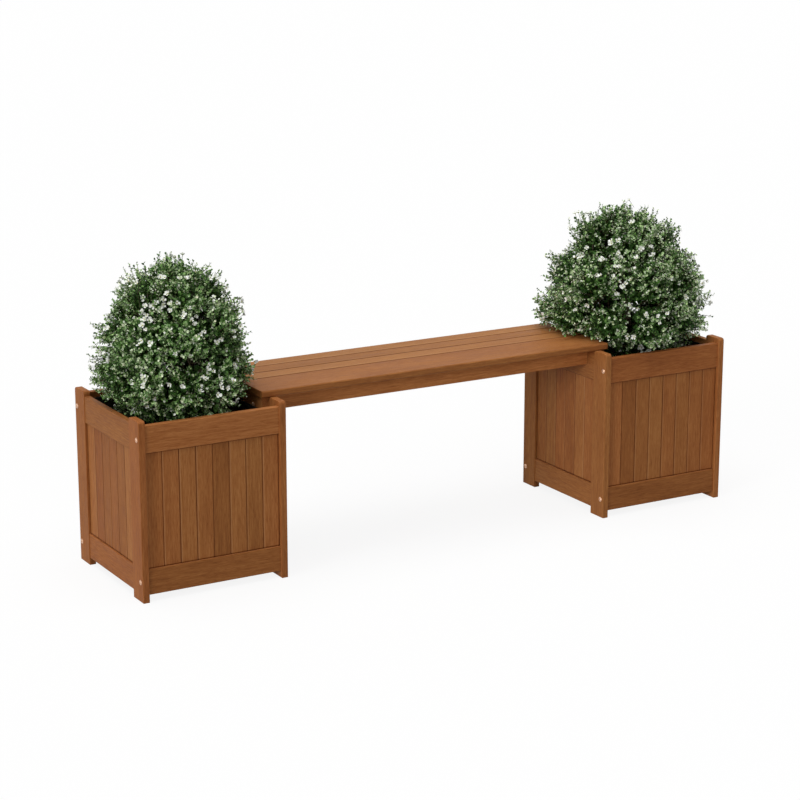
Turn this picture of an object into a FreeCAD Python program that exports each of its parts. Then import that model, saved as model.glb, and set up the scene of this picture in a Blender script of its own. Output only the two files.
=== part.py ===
import FreeCAD, Part
import math
import os
import re

import Sketcher

# A garden bench of oiled hardwood: a slatted seat carried between two square panelled planters,
# each with a liner tub of soil and a flowering shrub that lift out together.
# X runs along the bench, Y from front to back and Z up. The origin is on the ground under the middle.

SIZES = {
    # Whole bench
    "overall_length": 1800,
    "planter_width": 406,
    "planter_depth": 406,
    "post_height": 470,
    # Corner posts
    "post_thickness": 18,
    "post_width": 60,
    "post_top_radius": 8,
    "edge_radius": 1.5,
    # Rails of the four panels
    "upper_rail_drop": 14,
    "upper_rail_height": 70,
    "lower_rail_bottom": 19,
    "lower_rail_height": 67,
    "front_rail_thickness": 18,
    "front_rail_setback": 4,
    "side_rail_thickness": 16,
    "side_rail_setback": 2,
    "rail_groove_depth": 8,
    # Tongued boards
    "board_thickness": 8,
    "front_board_count": 8,
    "front_board_inset": 5.5,
    "side_board_count": 6,
    "side_board_inset": 4.5,
    "board_bevel": 1.5,
    "tongue_length": 3,
    "tongue_thickness": 2.6,
    "joint_slack": 0.2,
    # Connector bolts, barrel nuts and dowels
    "bolt_diameter": 6,
    "bolt_length": 65,
    "bolt_head_diameter": 13,
    "bolt_head_height": 3.5,
    "bolt_head_rim": 0.8,
    "bolt_socket_radius": 2.3,
    "bolt_socket_depth": 2.2,
    "bolt_hole_slack": 0.6,
    "barrel_nut_diameter": 10,
    "barrel_nut_length": 12,
    "barrel_nut_inset": 36,
    "dowel_diameter": 8,
    "dowel_length": 36,
    "dowel_spacing": 34,
    # Planter floor
    "bearer_bottom": 24,
    "bearer_height": 20,
    "bearer_thickness": 20,
    "slat_count": 5,
    "slat_gap": 11,
    "slat_thickness": 12,
    # Seat
    "seat_overhang": 39,
    "seat_setback": 51.5,
    "seat_thickness": 18,
    "narrow_board_width": 57,
    "seat_board_gap": 2,
    "seat_nose_radius": 4,
    "seat_edge_radius": 2,
    "apron_height": 46,
    "apron_thickness": 18,
    "front_apron_inset": 42,
    "rear_apron_inset": 20,
    "apron_screw_spacing": 330,
    "hook_thickness": 17.5,
    "hook_end_gap": 3,
    "hook_slack": 0.3,
    "middle_batten_width": 45,
    "middle_batten_height": 28,
    "seat_bolt_length": 29,
    "seat_bolt_spacing": 180,
    "seat_bolt_drop": 30,
    "seat_screw_diameter": 4.5,
    "seat_screw_head_diameter": 9,
    "seat_screw_head_height": 3,
    "seat_screw_grip": 12,
    # Liner tub and soil
    "tub_slack": 4,
    "tub_rim_drop": 15,
    "tub_wall": 2.5,
    "tub_corner_radius": 25,
    "drain_hole_diameter": 14,
    "drain_hole_spacing": 180,
    "soil_drop": 41,
    "soil_slack": 0.3,
    # Shrubs
    "trunk_root_depth": 60,
    "trunk_base_radius": 13,
    "trunk_top_radius": 9,
    "branch_base_radius": 7,
    "branch_tip_radius": 4,
    "fork_rise": 200,
    "crown_hollow_radius": 132,
    "crown_neck_radius": 40,
    "crown_seat_gap": 3,
    "skirt_rise": 7,
    "skirt_height": 95,
    "skirt_bottom_radius": 115,
    "skirt_top_radius": 160,
    "low_lobe_radius": 76,
    "low_lobe_rise": 130,
    "middle_lobe_radius": 82,
    "middle_lobe_rise": 232,
    "upper_lobe_radius": 66,
    "upper_lobe_rise": 325,
    "top_lobe_radius": 52,
    "top_lobe_rise": 366,
    "left_low_reach": 206,
    "left_middle_reach": 190,
    "left_upper_reach": 138,
    "left_top_reach": 74,
    "left_crown_lean": 0,
    "left_crown_stretch": 1,
    "right_low_reach": 240,
    "right_middle_reach": 222,
    "right_upper_reach": 158,
    "right_top_reach": 98,
    "right_crown_lean": 16,
    "right_crown_stretch": 1.035,
}

# Leaf clumps in each ring of a crown, and the angle of the ring's first clump, in degrees
LOBE_COUNTS = {"low": 9, "middle": 7, "upper": 5, "top": 3}
LOBE_START_ANGLES = {"low": 20, "middle": 0, "upper": 18, "top": 30}
# How steeply each branch rises from the fork, in degrees
BRANCH_ANGLES = (75, 20, 35, 15, 40, 25, 30)
# Edges that lie closer than this to a face count as lying in it
TOLERANCE = 0.01

DOC = FreeCAD.newDocument("planter_bench")
SHEET = DOC.addObject("Spreadsheet::Sheet", "sizes")
for row, (alias, value) in enumerate(SIZES.items(), 1):
    SHEET.set(f"A{row}", alias)
    SHEET.set(f"B{row}", str(value))
    SHEET.setAlias(f"B{row}", alias)
DOC.recompute()

ALIASES = re.compile(r"\b(" + "|".join(SIZES) + r")\b")
AXIS_TURNS = {
    "x": FreeCAD.Rotation(FreeCAD.Vector(0, 1, 0), 90),
    "y": FreeCAD.Rotation(FreeCAD.Vector(1, 0, 0), -90),
    "z": FreeCAD.Rotation(),
}
UP = FreeCAD.Vector(0, 0, 1)
NODES = {}


def bound(text):
    """An expression written in the sheet's own names."""
    return ALIASES.sub(r"sizes.\1", text)


def bind(thing, **expressions):
    for name, text in expressions.items():
        thing.setExpression(name, bound(text))


def place(thing, x, y, z, rotation=None):
    """Puts a thing at a point given by three expressions."""
    thing.Placement = FreeCAD.Placement(FreeCAD.Vector(), rotation or FreeCAD.Rotation())
    for axis, text in zip("xyz", (x, y, z)):
        thing.setExpression(f"Placement.Base.{axis}", bound(text))


def turned(degrees):
    return FreeCAD.Rotation(UP, degrees)


def keep(name, thing):
    """Names a finished sub-part."""
    thing.Label = name
    NODES[name] = thing
    return thing


def sketch_outline(body, plane, points):
    """A closed polygon whose corners are held by expressions, none of them negative."""
    sketch = body.newObject("Sketcher::SketchObject", "Outline")
    support = next(f for f in body.Origin.OriginFeatures if f.Role == plane)
    sketch.AttachmentSupport = (support, [""])
    sketch.MapMode = "FlatFace"
    count = len(points)
    first_guess = FreeCAD.Vector(40, 0, 0)
    middle = FreeCAD.Vector(50, 50, 0)
    rough = [middle + turned(360 * i / count).multVec(first_guess) for i in range(count)]
    sketch.addGeometry([Part.LineSegment(rough[i], rough[(i + 1) % count]) for i in range(count)])
    sketch.addConstraint([Sketcher.Constraint("Coincident", i, 2, (i + 1) % count, 1) for i in range(count)])
    for i, corner in enumerate(points):
        for kind, cross_axis, text, guess in zip(("DistanceX", "DistanceY"), (-2, -1), corner, rough[i]):
            if text == "0":
                sketch.addConstraint(Sketcher.Constraint("PointOnObject", i, 1, cross_axis))
            else:
                number = sketch.addConstraint(Sketcher.Constraint(kind, -1, 1, i, 1, guess))
                sketch.setExpression(f"Constraints[{number}]", bound(text))
    return sketch


def padded(plane, points, length):
    """A body padded from an outline in the XY plane upwards, or in the YZ plane along X."""
    body = DOC.addObject("PartDesign::Body", "Body")
    sketch = sketch_outline(body, plane, points)
    pad = body.newObject("PartDesign::Pad", "Pad")
    pad.Profile = sketch
    bind(pad, Length=length)
    DOC.recompute()
    return body


def rectangle(width, height):
    return (("0", "0"), (width, "0"), (width, height), ("0", height))


def ease(body, radius, chosen):
    """Rounds the edges that the test chosen picks."""
    base = body.Tip
    edges = [f"Edge{i}" for i, edge in enumerate(base.Shape.Edges, 1) if chosen(edge)]
    fillet = body.newObject("PartDesign::Fillet", "Ease")
    fillet.Base = (base, edges)
    bind(fillet, Radius=radius)
    body.Tip = fillet
    DOC.recompute()
    return body


def runs_along(axis):
    """A test for straight edges along one axis."""
    others = [f"{name}Length" for name in "XYZ" if name != axis]
    return lambda edge: all(getattr(edge.BoundBox, name) < TOLERANCE for name in others)


def at_ends(edge):
    """A test for edges that lie square across X."""
    return edge.BoundBox.XLength < TOLERANCE


def along_corner(edge, y, z):
    """A test for edges along X that run at a given Y and Z."""
    box = edge.BoundBox
    return runs_along("X")(edge) and abs(box.YMin - y) < TOLERANCE and abs(box.ZMin - z) < TOLERANCE


def in_row(body, count, spacing):
    """Repeats a body's pad along X."""
    pad = body.Tip
    row = body.newObject("PartDesign::LinearPattern", "Row")
    row.Originals = [pad]
    row.Direction = (pad.Profile[0], ["H_Axis"])
    row.Mode = "Spacing"
    bind(row, Occurrences=count, Offset=spacing)
    body.Tip = row
    return body


def bore(axis, diameter, length, x, y, z):
    """A cylinder along an axis from a starting point."""
    cylinder = DOC.addObject("Part::Cylinder", "Bore")
    bind(cylinder, Radius=f"({diameter}) / 2", Height=length)
    place(cylinder, x, y, z, AXIS_TURNS[axis])
    return cylinder


def block(width, depth, height, x, y, z):
    box = DOC.addObject("Part::Box", "Block")
    bind(box, Length=width, Width=depth, Height=height)
    place(box, x, y, z)
    return box


def joined(shapes):
    fuse = DOC.addObject("Part::MultiFuse", "Joined")
    fuse.Shapes = shapes
    return fuse


def cut(base, tools):
    result = DOC.addObject("Part::Cut", "Cut")
    result.Base = base
    result.Tool = joined(tools) if len(tools) > 1 else tools[0]
    return result


def copies(name, *sets):
    """One node of like solids: each set is a master and its places, as x, y, z and a turn about Z."""
    links = []
    for master, places in sets:
        for x, y, z, turn in places:
            link = DOC.addObject("App::Link", "Copy")
            link.LinkedObject = master
            link.LinkTransform = True
            place(link, x, y, z, turned(turn))
            links.append(link)
    group = DOC.addObject("Part::Compound", name)
    group.Links = links
    return keep(name, group)


# Places that several pieces share
FRONT_WIDTH = "(planter_width - 2 * post_thickness)"
SIDE_WIDTH = "(planter_depth - 2 * post_width)"
FRONT_FACE = "(planter_depth / 2 - front_rail_setback)"
FRONT_MIDDLE = "(planter_depth / 2 - front_rail_setback - front_rail_thickness / 2)"
FRONT_INSIDE = "(planter_depth / 2 - front_rail_setback - front_rail_thickness)"
SIDE_FACE = "(planter_width / 2 - side_rail_setback)"
SIDE_MIDDLE = "(planter_width / 2 - side_rail_setback - side_rail_thickness / 2)"
RAIL_TOP = "(post_height - upper_rail_drop)"
RAIL_BOTTOMS = {"upper": "(post_height - upper_rail_drop - upper_rail_height)", "lower": "lower_rail_bottom"}
UPPER_MIDDLE = "(post_height - upper_rail_drop - upper_rail_height / 2)"
LOWER_MIDDLE = "(lower_rail_bottom + lower_rail_height / 2)"
RAIL_MIDDLES = (UPPER_MIDDLE, LOWER_MIDDLE)
DOWEL_OFFSETS = ("- dowel_spacing / 2", "+ dowel_spacing / 2")
BOLT_HOLE = "bolt_diameter + bolt_hole_slack"
DOWEL_HOLE = "dowel_diameter + joint_slack"
DOWEL_HOLE_LENGTH = "dowel_length + 2 * joint_slack"
SEAT_BOTTOM = "post_height"
INNER_FACE = "(overall_length / 2 - planter_width + side_rail_setback)"
SEAT_END = "(overall_length / 2 - planter_width + side_rail_setback + seat_overhang)"
SEAT_DEPTH = "(planter_depth - 2 * seat_setback)"
FLOOR_TOP = "(bearer_bottom + bearer_height + slat_thickness)"
SOIL_TOP = "(post_height - upper_rail_drop - tub_rim_drop - soil_drop)"
FORK = f"({SOIL_TOP} + fork_rise)"
SEAT_BOLT_HEIGHT = "(post_height - seat_bolt_drop)"


def centre_x(side):
    """The middle of the left planter, side -1, or of the right planter, side 1."""
    return f"{side} * (overall_length - planter_width) / 2"


def post(side, end, depth_way):
    """A corner post with rounded shoulders, drilled for two connector bolts and four dowels."""
    body = padded("YZ_Plane", rectangle("post_width", "post_height"), "post_thickness")
    box = body.Shape.BoundBox
    ease(body, "post_top_radius", lambda e: any(along_corner(e, y, box.ZMax) for y in (box.YMin, box.YMax)))
    ease(body, "edge_radius", at_ends)
    x = f"{centre_x(side)} + {end} * (planter_width - post_thickness) / 2 - post_thickness / 2"
    y = f"{depth_way} * (planter_depth - post_width) / 2 - post_width / 2"
    place(body, x, y, "0")
    bolt_y = f"{depth_way} * {FRONT_MIDDLE}"
    dowel_x = f"{centre_x(side)} + {end} * {SIDE_MIDDLE}"
    dowel_y = f"{depth_way} * {SIDE_WIDTH} / 2 - ({DOWEL_HOLE_LENGTH}) / 2"
    tools = []
    for middle in RAIL_MIDDLES:
        tools.append(bore("x", BOLT_HOLE, "3 * post_thickness", f"{x} - post_thickness", bolt_y, middle))
        for offset in DOWEL_OFFSETS:
            tools.append(bore("y", DOWEL_HOLE, DOWEL_HOLE_LENGTH, dowel_x, dowel_y, f"{middle} {offset}"))
    return cut(body, tools)


def rail_outline(thickness, height, board_inset, groove_on_top):
    """A rail's section, with the groove that holds the board ends along its lower or upper edge."""
    near = f"{board_inset} - joint_slack"
    far = f"{board_inset} + board_thickness + joint_slack"
    if groove_on_top:
        floor = f"{height} - rail_groove_depth"
        groove = ((far, height), (far, floor), (near, floor), (near, height))
        return (("0", "0"), (thickness, "0"), (thickness, height)) + groove + (("0", height),)
    groove = ((near, "0"), (near, "rail_groove_depth"), (far, "rail_groove_depth"), (far, "0"))
    return (("0", "0"),) + groove + ((thickness, "0"), (thickness, height), ("0", height))


def rail(kind, level, thickness, width, board_inset):
    """A panel's rail in the panel's own frame: X along it, Y inwards from its face."""
    height = f"{level}_rail_height"
    bottom = RAIL_BOTTOMS[level]
    body = padded("YZ_Plane", rail_outline(thickness, height, board_inset, level == "lower"), width)
    box = body.Shape.BoundBox
    corners = [(y, z) for y in (box.YMin, box.YMax) for z in (box.ZMin, box.ZMax)]
    ease(body, "edge_radius", lambda e: any(along_corner(e, y, z) for y, z in corners))
    place(body, "0", "0", bottom)
    middle = f"({bottom} + {height} / 2)"
    depth = "(bolt_length - post_thickness + bolt_hole_slack)"
    tools = []
    if kind == "front":
        nut_length = f"{thickness} / 2 + barrel_nut_length / 2 + joint_slack + edge_radius"
        nut_start = f"{thickness} / 2 - barrel_nut_length / 2 - joint_slack"
        nut_hole = "barrel_nut_diameter + joint_slack"
        ends = (("0", "barrel_nut_inset"), (f"{width} - {depth}", f"{width} - barrel_nut_inset"))
        for start, nut_x in ends:
            tools.append(bore("x", BOLT_HOLE, depth, start, f"{thickness} / 2", middle))
            tools.append(bore("y", nut_hole, nut_length, nut_x, nut_start, middle))
    else:
        for end in ("0", width):
            for offset in DOWEL_OFFSETS:
                start = f"{end} - ({DOWEL_HOLE_LENGTH}) / 2"
                z = f"{middle} {offset}"
                tools.append(bore("x", DOWEL_HOLE, DOWEL_HOLE_LENGTH, start, f"{thickness} / 2", z))
    if kind == "inner" and level == "upper":
        hole_depth = "seat_bolt_length - hook_thickness + bolt_hole_slack"
        for way in (-1, 1):
            x = f"{width} / 2 + {way} * seat_bolt_spacing / 2"
            y = f"{thickness} - ({hole_depth})"
            tools.append(bore("y", BOLT_HOLE, f"{hole_depth} + edge_radius", x, y, SEAT_BOLT_HEIGHT))
    return cut(body, tools)


def boards(width, count, board_inset):
    """A panel's row of tongued boards with a V joint between each two, the last one trimmed square."""
    pitch = f"({width} / {count})"
    face = f"({pitch} - joint_slack)"
    near = "((board_thickness - tongue_thickness) / 2)"
    far = "((board_thickness + tongue_thickness) / 2)"
    tip = f"{face} + tongue_length"
    slot = "tongue_length + joint_slack"
    outline = (
        ("board_bevel", "0"), (f"{face} - board_bevel", "0"), (face, "board_bevel"),
        (face, near), (tip, near), (tip, far), (face, far), (face, "board_thickness"),
        ("0", "board_thickness"), ("0", f"{far} + joint_slack"), (slot, f"{far} + joint_slack"),
        (slot, f"{near} - joint_slack"), ("0", f"{near} - joint_slack"), ("0", "board_bevel"),
    )
    bottom = "(lower_rail_bottom + lower_rail_height - rail_groove_depth + joint_slack)"
    length = f"{RAIL_BOTTOMS['upper']} + rail_groove_depth - joint_slack - {bottom}"
    row = in_row(padded("XY_Plane", outline, length), count, pitch)
    place(row, "0", board_inset, bottom)
    trim_x = f"{width} - joint_slack"
    return cut(row, [block("2 * tongue_length", "board_thickness", length, trim_x, board_inset, bottom)])


def panel(planter, kind, side, end):
    """Two rails and a row of boards on one face of a planter; an end panel lies at its low or high X."""
    if kind in ("front", "rear"):
        way = -1 if kind == "front" else 1
        origin = (f"{centre_x(side)} + {way} * {FRONT_WIDTH} / 2", f"{way} * {FRONT_FACE}")
        turn = 0 if way < 0 else 180
        thickness, width, inset = "front_rail_thickness", FRONT_WIDTH, "front_board_inset"
        count, rail_kind = "front_board_count", "front"
    else:
        origin = (f"{centre_x(side)} + {end} * {SIDE_FACE}", f"{-end} * {SIDE_WIDTH} / 2")
        turn = 90 * end
        thickness, width, inset = "side_rail_thickness", SIDE_WIDTH, "side_board_inset"
        count, rail_kind = "side_board_count", kind
    pieces = {"boards": boards(width, count, inset)}
    for level in ("upper", "lower"):
        pieces[f"{level}_rail"] = rail(rail_kind, level, thickness, width, inset)
    for piece_name, piece in pieces.items():
        place(piece, *origin, "0", turned(turn))
        keep(f"{planter}_{kind}_{piece_name}", piece)


def floor(planter, side):
    """Slats laid across two bearers that are fixed inside the front and rear lower rails."""
    left_end = f"{centre_x(side)} - {FRONT_WIDTH} / 2"
    for name, way in (("front", -1), ("rear", 1)):
        outline = rectangle("bearer_thickness", "bearer_height")
        bearer = padded("YZ_Plane", outline, f"{FRONT_WIDTH} - 2 * joint_slack")
        y = f"{way} * ({FRONT_INSIDE} - bearer_thickness / 2) - bearer_thickness / 2"
        place(bearer, f"{left_end} + joint_slack", y, "bearer_bottom")
        keep(f"{planter}_{name}_floor_bearer", bearer)
    pitch = f"(({FRONT_WIDTH} - 2 * joint_slack + slat_gap) / slat_count)"
    length = f"(2 * {FRONT_INSIDE} - 2 * joint_slack)"
    slats = padded("XY_Plane", rectangle(f"{pitch} - slat_gap", length), "slat_thickness")
    in_row(slats, "slat_count", pitch)
    place(slats, f"{left_end} + joint_slack", f"-{length} / 2", "bearer_bottom + bearer_height")
    keep(f"{planter}_floor_slats", slats)


TUB_OUTSIDE = "(overall_length / 2 - side_rail_setback - side_rail_thickness - tub_slack)"
TUB_INSIDE = f"({SEAT_END} + tub_slack)"
TUB_WIDTH = f"({TUB_OUTSIDE} - {TUB_INSIDE})"
TUB_DEPTH = f"(2 * {FRONT_INSIDE} - 2 * tub_slack)"
TUB_HEIGHT = f"({RAIL_TOP} - tub_rim_drop - {FLOOR_TOP})"


def tub_middle(side):
    return f"{side} * ({TUB_OUTSIDE} + {TUB_INSIDE}) / 2"


def rounded_block(side, inset, corner, bottom, height):
    """A block standing in a planter with its four upright corners rounded."""
    outline = rectangle(f"{TUB_WIDTH} - 2 * {inset}", f"{TUB_DEPTH} - 2 * {inset}")
    body = ease(padded("XY_Plane", outline, height), corner, runs_along("Z"))
    place(body, f"{tub_middle(side)} - {TUB_WIDTH} / 2 + {inset}", f"{inset} - {TUB_DEPTH} / 2", bottom)
    return body


def liner_tub(planter, side):
    """An open plastic liner with drain holes, standing on the floor slats."""
    outside = rounded_block(side, "0", "tub_corner_radius", FLOOR_TOP, TUB_HEIGHT)
    cavity_corner = "tub_corner_radius - tub_wall"
    cavity = rounded_block(side, "tub_wall", cavity_corner, f"{FLOOR_TOP} + tub_wall", TUB_HEIGHT)
    tools = [cavity]
    for x_way in (-1, 1):
        for y_way in (-1, 1):
            x = f"{tub_middle(side)} + {x_way} * drain_hole_spacing / 2"
            y = f"{y_way} * drain_hole_spacing / 2"
            tools.append(bore("z", "drain_hole_diameter", "3 * tub_wall", x, y, f"{FLOOR_TOP} - tub_wall"))
    keep(f"{planter}_liner_tub", cut(outside, tools))


def soil(planter, side):
    """The potting soil in the tub, with a hole for the trunk's root end."""
    inset = "(tub_wall + soil_slack)"
    corner = "tub_corner_radius - tub_wall - soil_slack"
    height = f"{TUB_HEIGHT} - tub_wall - soil_drop"
    filling = rounded_block(side, inset, corner, f"{FLOOR_TOP} + tub_wall", height)
    root = bore("z", "2 * (trunk_base_radius + soil_slack)", "2 * trunk_root_depth", tub_middle(side), "0",
                f"{SOIL_TOP} - trunk_root_depth")
    keep(f"{planter}_soil", cut(filling, [root]))


def stems(planter, side):
    """A trunk that forks inside the crown into branches as long as the hollow there."""
    trunk = DOC.addObject("Part::Cone", "Trunk")
    bottom = f"({SOIL_TOP} - trunk_root_depth)"
    bind(trunk, Radius1="trunk_base_radius", Radius2="trunk_top_radius", Height=f"{FORK} - {bottom}")
    place(trunk, tub_middle(side), "0", bottom)
    pieces = [trunk]
    for i, angle in enumerate(BRANCH_ANGLES):
        branch = DOC.addObject("Part::Cone", "Branch")
        length = "crown_hollow_radius - 2 * soil_slack"
        bind(branch, Radius1="branch_base_radius", Radius2="branch_tip_radius", Height=length)
        lean = FreeCAD.Rotation(FreeCAD.Vector(0, 1, 0), 90 - angle)
        heading = turned(360 * i / len(BRANCH_ANGLES)).multiply(lean)
        place(branch, tub_middle(side), "0", FORK, heading)
        pieces.append(branch)
    keep(f"{planter}_stems", joined(pieces))


def foliage(planter, side):
    """A domed crown of leaf clumps, hollow where the branches fork and clear of the seat's end."""
    skirt = DOC.addObject("Part::Cone", "Skirt")
    bind(skirt, Radius1="skirt_bottom_radius", Radius2="skirt_top_radius", Height="skirt_height")
    place(skirt, tub_middle(side), "0", f"{SOIL_TOP} + skirt_rise")
    clumps = [skirt]
    axis = f"{tub_middle(side)} - {side} * {planter}_crown_lean"
    for ring, count in LOBE_COUNTS.items():
        for i in range(count):
            turn = math.radians(LOBE_START_ANGLES[ring] + 360 * i / count) * side
            radius = f"({planter}_{ring}_reach - {ring}_lobe_radius)"
            lobe = DOC.addObject("Part::Sphere", "Lobe")
            bind(lobe, Radius=f"{ring}_lobe_radius")
            x = f"{axis} + {math.cos(turn):.5f} * {radius}"
            z = f"{SOIL_TOP} + {planter}_crown_stretch * {ring}_lobe_rise"
            place(lobe, x, f"{math.sin(turn):.5f} * {radius}", z)
            clumps.append(lobe)
    hollow = DOC.addObject("Part::Sphere", "Hollow")
    bind(hollow, Radius="crown_hollow_radius")
    place(hollow, tub_middle(side), "0", FORK)
    neck = bore("z", "2 * crown_neck_radius", "fork_rise", tub_middle(side), "0", SOIL_TOP)
    reach = f"({SEAT_END} + crown_seat_gap)"
    top = f"({SEAT_BOTTOM} + seat_thickness + crown_seat_gap)"
    clear_x = "0" if side > 0 else f"-{reach}"
    seat_room = block(reach, "2 * planter_depth", f"{top} - {SOIL_TOP}", clear_x, "-planter_depth", SOIL_TOP)
    keep(f"{planter}_foliage", cut(joined(clumps), [hollow, neck, seat_room]))


def planter_box(planter, side):
    """One square planter: four posts, four panels and a floor."""
    for frame, end in (("outer", side), ("inner", -side)):
        for name, depth_way in (("front", -1), ("rear", 1)):
            keep(f"{planter}_{frame}_{name}_post", post(side, end, depth_way))
        panel(planter, frame, side, end)
    for kind in ("front", "rear"):
        panel(planter, kind, side, 0)
    floor(planter, side)


BOLT_DOME = "(bolt_head_height - bolt_head_rim)"
BOLT_DOME_RADIUS = f"((bolt_head_diameter ^ 2 / 4 + {BOLT_DOME} ^ 2) / (2 * {BOLT_DOME}))"


def connector_bolt(length):
    """A bolt along X with a domed socket head behind the origin."""
    shank = bore("x", "bolt_diameter", length, "0", "0", "0")
    ball = DOC.addObject("Part::Sphere", "Ball")
    bind(ball, Radius=BOLT_DOME_RADIUS)
    place(ball, f"{BOLT_DOME_RADIUS} - bolt_head_height", "0", "0", AXIS_TURNS["x"])
    head = DOC.addObject("Part::Common", "Head")
    head.Base = bore("x", "bolt_head_diameter", "bolt_head_height", "-bolt_head_height", "0", "0")
    head.Tool = ball
    socket = DOC.addObject("Part::Prism", "Socket")
    socket.Polygon = 6
    bind(socket, Circumradius="bolt_socket_radius", Height="bolt_socket_depth")
    place(socket, "-bolt_head_height", "0", "0", AXIS_TURNS["x"])
    return cut(joined([shank, head]), [socket])


def panel_fasteners():
    """Bolts and barrel nuts of the front and rear panels, and the dowels of the end frames."""
    nut = bore("y", "barrel_nut_diameter", "barrel_nut_length", "0", "-barrel_nut_length / 2", "0")
    thread = "bolt_diameter + joint_slack"
    thread_start = "-barrel_nut_diameter"
    nut = cut(nut, [bore("x", thread, "2 * barrel_nut_diameter", thread_start, "0", "0")])
    dowel = bore("y", "dowel_diameter", "dowel_length", "0", "0", "0")
    bolt_places, nut_places, dowel_places = [], [], []
    for side in (-1, 1):
        for end in (-1, 1):
            head_x = f"{centre_x(side)} + {end} * planter_width / 2"
            nut_x = f"{head_x} - {end} * (post_thickness + barrel_nut_inset)"
            dowel_x = f"{centre_x(side)} + {end} * {SIDE_MIDDLE}"
            for way in (-1, 1):
                for middle in RAIL_MIDDLES:
                    bolt_places.append((head_x, f"{way} * {FRONT_MIDDLE}", middle, 90 + 90 * end))
                    nut_places.append((nut_x, f"{way} * {FRONT_MIDDLE}", middle, 0))
                    for offset in DOWEL_OFFSETS:
                        dowel_y = f"{way} * {SIDE_WIDTH} / 2 - dowel_length / 2"
                        dowel_places.append((dowel_x, dowel_y, f"{middle} {offset}", 0))
    copies("panel_connector_bolts", (connector_bolt("bolt_length"), bolt_places))
    copies("panel_barrel_nuts", (nut, nut_places))
    copies("end_frame_dowels", (dowel, dowel_places))


SEAT_BOARDS = ("rear", "second", "third", "front")
NARROW_PITCH = "(narrow_board_width + seat_board_gap)"
FRONT_BOARD_WIDTH = f"({SEAT_DEPTH} - {len(SEAT_BOARDS) - 1} * {NARROW_PITCH})"
HOOK_REBATE = "(side_rail_thickness + hook_slack)"
HOOK_BACK = "(side_rail_thickness + hook_slack + hook_thickness)"
APRON_BOTTOM = "(post_height - apron_height)"
BATTEN_BOTTOM = "(post_height - middle_batten_height)"


def apron_inside(name):
    """The distance from the seat's middle to an apron's inner face."""
    return f"({SEAT_DEPTH} / 2 - {name}_apron_inset - apron_thickness)"


def screw_line(index):
    """Where the cross battens' screws enter a board: the front one between its rear edge and the apron."""
    rear_edge = f"{SEAT_DEPTH} / 2 - {index} * {NARROW_PITCH}"
    if index == len(SEAT_BOARDS) - 1:
        return f"(({rear_edge} - {apron_inside('front')}) / 2)"
    return f"({rear_edge} - narrow_board_width / 2)"


def seat_board(index):
    """A board of the seat; the first and last have a rounded nose along the seat's edge."""
    last = index == len(SEAT_BOARDS) - 1
    width = FRONT_BOARD_WIDTH if last else "narrow_board_width"
    body = padded("YZ_Plane", rectangle(width, "seat_thickness"), f"2 * {SEAT_END}")
    box = body.Shape.BoundBox
    noses = [box.YMax] if index == 0 else [box.YMin] if last else []
    square_sides = [y for y in (box.YMin, box.YMax) if y not in noses]
    for nose in noses:
        ease(body, "seat_nose_radius", lambda e: any(along_corner(e, nose, z) for z in (box.ZMin, box.ZMax)))
    ease(body, "seat_edge_radius", lambda e: any(along_corner(e, y, box.ZMax) for y in square_sides))
    ease(body, "edge_radius", at_ends)
    y = f"-{SEAT_DEPTH} / 2" if last else f"{SEAT_DEPTH} / 2 - {index} * {NARROW_PITCH} - narrow_board_width"
    place(body, f"-{SEAT_END}", y, SEAT_BOTTOM)
    return body


def screw(length, slack="0"):
    """An upright countersunk screw, head down, grown by a slack."""
    shank = bore("z", f"seat_screw_diameter + 2 * {slack}", f"{length} + {slack}", "0", "0", "0")
    head = DOC.addObject("Part::Cone", "Head")
    top_radius = f"seat_screw_diameter / 2 + {slack}"
    bottom_radius = f"seat_screw_head_diameter / 2 + {slack}"
    bind(head, Radius1=bottom_radius, Radius2=top_radius, Height="seat_screw_head_height")
    return joined([shank, head])


def seat_screws():
    """Screws up through the battens, hook shelves and aprons into the boards; gives their holes."""
    lines = [screw_line(i) for i in range(len(SEAT_BOARDS))]
    batten_places = [("0", line, BATTEN_BOTTOM, 0) for line in lines[1:]]
    hook_places, apron_places = [], []
    for side in (-1, 1):
        shelf_x = f"{side} * ({INNER_FACE} + {HOOK_REBATE} / 2)"
        hook_places += [(shelf_x, line, RAIL_TOP, 0) for line in lines]
    for name, way in (("front", -1), ("rear", 1)):
        apron_y = f"{way} * ({apron_inside(name)} + apron_thickness / 2)"
        apron_places += [(f"{step} * apron_screw_spacing", apron_y, APRON_BOTTOM, 0) for step in (-1, 0, 1)]
    depths = (("middle_batten_height", batten_places), ("upper_rail_drop", hook_places),
              ("apron_height", apron_places))
    sets = [(f"({depth} + seat_screw_grip)", places) for depth, places in depths]
    copies("seat_screws", *((screw(length), places) for length, places in sets))
    holes = []
    for length, places in sets:
        for x, y, z, _ in places:
            hole = screw(length, "joint_slack")
            place(hole, x, y, z)
            holes.append(hole)
    return joined(holes)


def hook_batten(side):
    """A rebated batten that sits on a planter's inner rail and drops down behind it."""
    shelf = f"apron_height - (post_height - {RAIL_TOP})"
    outline = (("0", shelf), (HOOK_REBATE, shelf), (HOOK_REBATE, "0"), (HOOK_BACK, "0"),
               (HOOK_BACK, "apron_height"), ("0", "apron_height"))
    length = f"({SIDE_WIDTH} - 2 * hook_end_gap)"
    body = padded("YZ_Plane", outline, length)
    place(body, f"{side} * {INNER_FACE}", f"{side} * {length} / 2", APRON_BOTTOM, turned(-90 * side))
    x = f"{side} * ({INNER_FACE} + {HOOK_BACK} / 2) - {HOOK_BACK} / 2"
    lines = [f"{way} * seat_bolt_spacing / 2" for way in (-1, 1)]
    return cut(body, [bore("x", BOLT_HOLE, HOOK_BACK, x, y, SEAT_BOLT_HEIGHT) for y in lines])


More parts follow.
